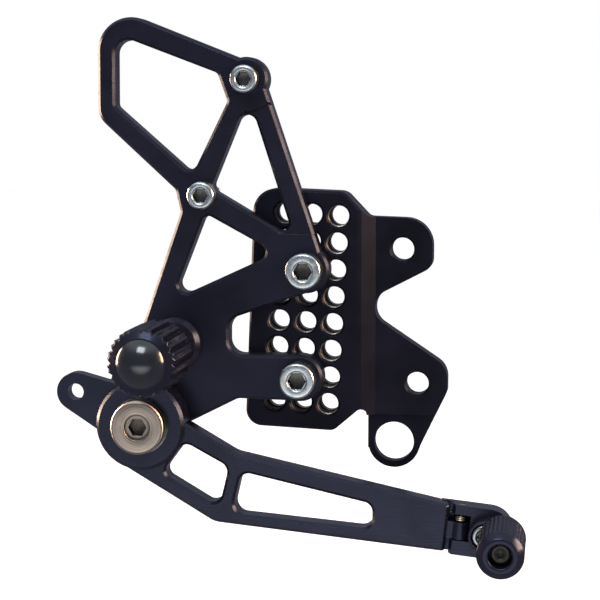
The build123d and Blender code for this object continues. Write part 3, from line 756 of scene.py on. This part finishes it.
class REARSET_OT_nuts(bpy.types.Operator):
    """Make the two hexagon nuts behind the hanger"""
    bl_idname = "rearset.nuts"
    bl_label = "Nuts"

    def execute(self, context):
        nuts = (("peg_nut", "peg_locknut", 4 * MM), ("pivot_nut", "pivot_locknut", 5 * MM))
        for name, node, bore in nuts:
            low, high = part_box(node)
            back, front = levels_of(node)
            profile = nut_profile(bore + THREAD_GAP, (high.z - low.z) / 2, back, front)
            obj = turned(name, axis_of(node), profile, 48, True)
            obj.data.materials.append(bpy.data.materials["zinc_plate_finish"])
            settle(obj, "bracket", "zinc_steel", node)
        return {"FINISHED"}


class REARSET_OT_tapped_holes(bpy.types.Operator):
    """Cut a thread into each open hole of the adapter's grid"""
    bl_idname = "rearset.tapped_holes"
    bl_label = "Tapped holes"

    def execute(self, context):
        sizes = context.scene.rearset_screws
        upper, lower = (Vector(axis) for axis in pair_of("hanger_bolts", sizes.m8_head))
        row = (upper - lower) / sizes.hole_pitch
        column = Vector((row.y, -row.x))
        middle = (upper + lower) / 2
        mesh = bmesh.new()
        for i in (-1, 0, 1):
            for j in range(-3, 5):
                if i == 0 and abs(j) == sizes.hole_pitch // 2:
                    continue
                spot = middle + column * i + row * j
                mesh.verts.new((spot.x, -0.7 * MM, spot.y))
        bare = bpy.data.materials["bare_thread_finish"]
        obj = shaped(made("grid_threads", mesh), tapping_tree(), bare, {
            "Hole Radius": M8[0] + 0.12 * MM, "Depth": sizes.block_face - 1.9 * MM, "Pitch": M8[1],
            "Ridge": 0.42 * MM})
        settle(obj, "bracket", "black_anodised")
        return {"FINISHED"}


# Pegs

class REARSET_OT_foot_peg(bpy.types.Operator):
    """Make the fluted and toothed foot peg"""
    bl_idname = "rearset.foot_peg"
    bl_label = "Foot peg"

    def execute(self, context):
        sizes = context.scene.rearset_grips
        back, front = levels_of("peg_body")
        radius = sizes.grip_radius
        start, chamfer = front - sizes.grip_length, front - 2.4 * MM
        neck, collar, rim, bore, hole = 8 * MM, 10 * MM, 8.8 * MM, 7 * MM, 4.25 * MM
        floor, lead, steps = front - 28 * MM, 0.3 * MM, 7
        step = sizes.tooth_pitch / 4
        slope = [(rim + (radius - rim) * i / steps, front - (front - chamfer) * i / steps, 0)
                 for i in range(steps)]
        grip = rows(radius, chamfer, start + 0.8 * MM, step)
        shoulder = [(radius - 0.6 * MM, start, 0), (radius - 1.5 * MM, start - 0.62 * MM, 0)]
        rear = [(neck, start - 2.5 * MM, 0), (neck, back + 5 * MM, 0), (collar, back + 3 * MM, 0),
                (collar, back, 0), (hole, back, 0), (hole, floor, 0), (bore, floor, 0),
                (bore, front - lead, 0), (bore + lead, front, 0)]
        profile = slope + grip + shoulder + softened(shoulder[-1:] + rear, 0.4 * MM)[1:]
        axis = axis_of("peg_cap")
        obj = turned("foot_peg_grip", axis, profile, sizes.flutes * 20, True)
        obj = shaped(obj, grip_tree(), bpy.data.materials["peg_anodised_finish"], {
            "Axis X": axis[0], "Axis Z": axis[1], "Grip Radius": radius, "Grip Start": start + 1.2 * MM,
            "Grip End": chamfer + 0.5 * MM, "Flutes": float(sizes.flutes),
            "Flute Depth": sizes.flute_depth, "Dip Depth": sizes.dip_depth,
            "Tooth Pitch": sizes.tooth_pitch, "Tooth Depth": sizes.tooth_depth})
        settle(obj, "bracket", "peg_anodised", "peg_body")
        return {"FINISHED"}


class REARSET_OT_peg_dome(bpy.types.Operator):
    """Make the smooth domed plug in the foot peg's end"""
    bl_idname = "rearset.peg_dome"
    bl_label = "Peg dome"

    def execute(self, context):
        low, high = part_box("peg_cap")
        back, apex = levels_of("peg_cap")
        radius, rise, plug, steps = (high.x - low.x) / 2, 4 * MM, 6.98 * MM, 28
        ball = (radius ** 2 + rise ** 2) / (2 * rise)
        edge = math.asin(radius / ball)
        angles = [edge * i / steps for i in range(steps)]
        dome = [(ball * math.sin(angle), apex - ball + ball * math.cos(angle), 0) for angle in angles]
        rest = [(radius, apex - rise, 0), (plug, apex - rise, 0), (plug, back, 0), (0, back, 0)]
        profile = dome[:-1] + softened(dome[-1:] + rest, 0.3 * MM)
        obj = turned("peg_dome", axis_of("peg_cap"), profile, 96)
        obj.data.materials.append(bpy.data.materials["cap_black_finish"])
        settle(obj, "bracket", "cap_black", "peg_cap")
        return {"FINISHED"}


class REARSET_OT_toe_peg(bpy.types.Operator):
    """Make the toe peg with its square knurl"""
    bl_idname = "rearset.toe_peg"
    bl_label = "Toe peg"

    def execute(self, context):
        sizes = context.scene.rearset_grips
        low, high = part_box("toe_peg")
        back, front = levels_of("toe_peg")
        radius, chamfer = (high.x - low.x) / 2, 2.2 * MM
        counterbore, depth, hole, lead = 4.2 * MM, 8.0 * MM, 2.2 * MM, 0.3 * MM
        face = [(counterbore, front - lead, 0), (counterbore + lead, front, 0),
                (radius - chamfer, front, 0), (radius, front - chamfer, 0)]
        barrel = rows(radius, front - chamfer - 0.1 * MM, back + 0.5 * MM, sizes.knurl_pitch / 6)
        rear = [(radius - 0.5 * MM, back, 0), (hole, back, 0), (hole, front - depth, 0),
                (counterbore, front - depth, 0)]
        profile = softened(face + barrel[:1])[:-1] + barrel + rear
        axis = axis_of("toe_peg")
        obj = turned("toe_peg_knurled", axis, profile, sizes.knurl_round * 6, True)
        obj = shaped(obj, knurl_tree(), bpy.data.materials["peg_anodised_finish"], {
            "Axis X": axis[0], "Axis Z": axis[1], "Knurl Radius": radius, "Knurl Start": back + 1.2 * MM,
            "Knurl End": front - chamfer - 0.4 * MM, "Teeth Round": float(sizes.knurl_round),
            "Tooth Pitch": sizes.knurl_pitch, "Tooth Depth": sizes.knurl_depth})
        settle(obj, "toe_link", "peg_anodised", "toe_peg")
        return {"FINISHED"}


# Finishes

class REARSET_OT_finishes(bpy.types.Operator):
    """Make the materials and give the carried-over plates, bearings and spring theirs"""
    bl_idname = "rearset.finishes"
    bl_label = "Finishes"

    def execute(self, context):
        colours = context.scene.rearset_finishes
        block = anodised("black_anodised_block", colours, 0.36, gloss=0.32)
        plate = anodised("black_anodised", colours, 0.33)
        arm = anodised("black_anodised_arm", colours, 0.27, tool_turn=math.radians(80), gloss=1.5)
        anodised("peg_anodised", colours, 0.22, grain=0.12 * MM, gloss=1.2)
        moulded("cap_black", (0.0025, 0.0030, 0.0045), (0.0050, 0.0060, 0.0085), 0.16, gloss=0.8)
        plated("zinc_plate", colours.zinc_cool[:], colours.zinc_warm[:], 0.24)
        plated("black_oxide", (0.010, 0.010, 0.012), (0.030, 0.028, 0.028), 0.34, metallic=0.6)
        plated("bare_thread", (0.20, 0.17, 0.15), (0.42, 0.37, 0.33), 0.38)
        turned_steel("turned_steel", axis_of("pivot_bolt"), colours)
        polished = plated("bearing_steel", (0.55, 0.56, 0.58), (0.70, 0.71, 0.72), 0.16)
        sprung = plated("spring_steel", (0.50, 0.40, 0.24), (0.78, 0.66, 0.44), 0.24)
        seal = moulded("seal_rubber", (0.006, 0.006, 0.006), (0.016, 0.015, 0.014), 0.55)
        wearers = {
            block: ("adapter_plate",),
            plate: ("hanger_plate",),
            arm: ("brake_pedal", "tip_block", "toe_link"),
            polished: ("bearing_inner_rings", "bearing_outer_rings", "bearing_balls", "pivot_spacers"),
            sprung: ("fold_spring", "fold_pin"),
            seal: ("bearing_seals",),
        }
        for material, nodes in wearers.items():
            for name in nodes:
                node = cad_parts[name]
                node.data.materials.clear()
                node.data.materials.append(material)
        return {"FINISHED"}


# Stage

def area_light(name, place, aim, size, colour, power):
    """A rectangular light that shines at a point and isn't seen itself."""
    light = bpy.data.lights.new(name, "AREA")
    light.shape = "RECTANGLE"
    light.size, light.size_y = size
    light.color = colour
    light.energy = power
    obj = bpy.data.objects.new(name, light)
    obj.location = place
    obj.rotation_euler = (aim - place).to_track_quat("-Z", "Y").to_euler()
    obj.visible_camera = False
    bpy.context.scene.collection.objects.link(obj)


# The dim room that shiny surfaces see: its colour at each height, from straight down to straight up
ROOM = (
    (-1.00, (0.070, 0.072, 0.090)),
    (-0.13, (0.050, 0.053, 0.072)),
    (0.00, (0.045, 0.048, 0.066)),
    (0.55, (0.060, 0.066, 0.088)),
    (0.80, (0.22, 0.24, 0.27)),
)

ROOM_STRENGTH = 4.0

# A pale board low in front: the heights and the directions outboard over which it fades in, and its colour
BOARD_HEIGHTS = (-0.13, -0.26)
BOARD_DIRECTIONS = (-0.74, -0.93)
BOARD_COLOUR = (0.52, 0.52, 0.54)

WHITE = (1.0, 1.0, 1.0, 1)
BACKDROP_STRENGTH = 1.0
FILL_STRENGTH = 1.35

# Each light: its name, its place from the object's middle, its size, its colour and the setting for its power
LIGHTS = (
    ("overhead", (-0.08, -0.55, 0.62), (0.36, 0.30), (0.86, 0.93, 1.0), "key"),
    ("right_strip", (0.62, -0.09, 0.17), (0.16, 0.36), (1.0, 0.66, 0.42), "warm"),
    ("left_strip", (-0.58, 0.15, 0.07), (0.14, 0.34), (1.0, 0.70, 0.46), "warm"),
)


def studio_world(name):
    """A white surround, which shiny surfaces see as a dim room, brighter overhead and low in front."""
    world = bpy.data.worlds.new(name)
    world.use_nodes = True
    sky = Wiring(world.node_tree)
    sky.tree.nodes.clear()
    direction = sky.node("ShaderNodeTexCoord").outputs["Generated"]
    split = sky.node("ShaderNodeSeparateXYZ", {"Vector": direction}).outputs
    room = sky.node("ShaderNodeValToRGB", {"Fac": sky.ramp(split["Z"], -1.0, 1.0)})
    elements = room.color_ramp.elements
    for level, _ in ROOM[1:-1]:
        elements.new((level + 1) / 2)
    for element, (level, colour) in zip(elements, ROOM):
        element.position = (level + 1) / 2
        element.color = (*colour, 1)
    low, ahead = sky.ramp(split["Z"], *BOARD_HEIGHTS), sky.ramp(split["Y"], *BOARD_DIRECTIONS)
    board = sky.math("MULTIPLY", low, ahead)
    glow = sky.blend(board, room.outputs[0], BOARD_COLOUR)
    seen, fill, backdrop = (
        sky.node("ShaderNodeBackground", {"Color": colour, "Strength": strength}).outputs[0]
        for colour, strength in ((glow, ROOM_STRENGTH), (WHITE, FILL_STRENGTH), (WHITE, BACKDROP_STRENGTH)))
    rays = sky.node("ShaderNodeLightPath").outputs
    lit = sky.node("ShaderNodeMixShader", {0: rays["Is Glossy Ray"], 1: fill, 2: seen}).outputs[0]
    whole = sky.node("ShaderNodeMixShader", {0: rays["Is Camera Ray"], 1: lit, 2: backdrop}).outputs[0]
    sky.node("ShaderNodeOutputWorld", {"Surface": whole})
    return world


def floor_finish(tone):
    """A plain pale painted board with a faint unevenness."""
    paint = Paint("floor_board")
    darker = tuple(0.97 * c for c in tone)
    paint.put(paint.shader.inputs["Base Color"], paint.blend(paint.noise(0.3, 2.0), darker, tone))
    paint.put(paint.shader.inputs["Roughness"], paint.ramp(paint.noise(0.05, 3.0), 0.3, 0.7, 0.75, 0.85))
    return paint.material


class REARSET_OT_stage(bpy.types.Operator):
    """Lay the floor, hang the lights and set the camera"""
    bl_idname = "rearset.stage"
    bl_label = "Stage"

    def execute(self, context):
        stage = context.scene.rearset_stage
        low, high = CAD_BOX
        middle = (low + high) / 2
        mesh = bmesh.new()
        bmesh.ops.create_circle(mesh, cap_ends=True, radius=5.0, segments=96)
        floor = made("floor", mesh)
        floor.data.transform(Matrix.Translation((middle.x, middle.y, low.z - stage.floor_gap)))
        floor.data.materials.append(floor_finish(stage.floor_tone[:]))
        floor.visible_glossy = False

        for name, offset, size, colour, power in LIGHTS:
            area_light(name, middle + Vector(offset), middle, size, colour, getattr(stage, power))
        context.scene.world = studio_world("studio")
        context.scene.view_settings.view_transform = "Standard"

        data = bpy.data.cameras.new("camera")
        data.lens = stage.lens
        camera = bpy.data.objects.new("camera", data)
        camera.location = stage.camera_place
        target = Vector((middle.x, 0.0, middle.z - stage.aim_drop))
        camera.rotation_euler = (target - camera.location).to_track_quat("-Z", "Y").to_euler()
        context.scene.collection.objects.link(camera)
        context.scene.camera = camera
        return {"FINISHED"}


class REARSET_PT_panel(bpy.types.Panel):
    """The rear-set's makers and their settings"""
    bl_idname = "REARSET_PT_panel"
    bl_label = "Rear-set"
    bl_space_type = "VIEW_3D"
    bl_region_type = "UI"
    bl_category = "Rear-set"

    def draw(self, context):
        for operator in OPERATORS:
            self.layout.operator(operator.bl_idname)
        for name, group in SETTINGS.items():
            box = self.layout.box()
            box.label(text=group.__doc__)
            for field in group.__annotations__:
                box.prop(getattr(context.scene, name), field)


OPERATORS = (
    REARSET_OT_finishes,
    REARSET_OT_screws,
    REARSET_OT_pivot,
    REARSET_OT_nuts,
    REARSET_OT_tapped_holes,
    REARSET_OT_foot_peg,
    REARSET_OT_peg_dome,
    REARSET_OT_toe_peg,
    REARSET_OT_stage,
)


def register():
    for group in SETTINGS.values():
        bpy.utils.register_class(group)
    for operator in OPERATORS:
        bpy.utils.register_class(operator)
    bpy.utils.register_class(REARSET_PT_panel)
    for name, group in SETTINGS.items():
        setattr(bpy.types.Scene, name, bpy.props.PointerProperty(type=group))


def unregister():
    for name in SETTINGS:
        delattr(bpy.types.Scene, name)
    bpy.utils.unregister_class(REARSET_PT_panel)
    for operator in reversed(OPERATORS):
        bpy.utils.unregister_class(operator)
    for group in SETTINGS.values():
        bpy.utils.unregister_class(group)


def main():
    """Make everything in order."""
    register()
    bpy.ops.rearset.finishes()
    bpy.ops.rearset.screws()
    bpy.ops.rearset.pivot()
    bpy.ops.rearset.nuts()
    bpy.ops.rearset.tapped_holes()
    bpy.ops.rearset.foot_peg()
    bpy.ops.rearset.peg_dome()
    bpy.ops.rearset.toe_peg()
    bpy.ops.rearset.stage()


if __name__ == "__main__":
    main()
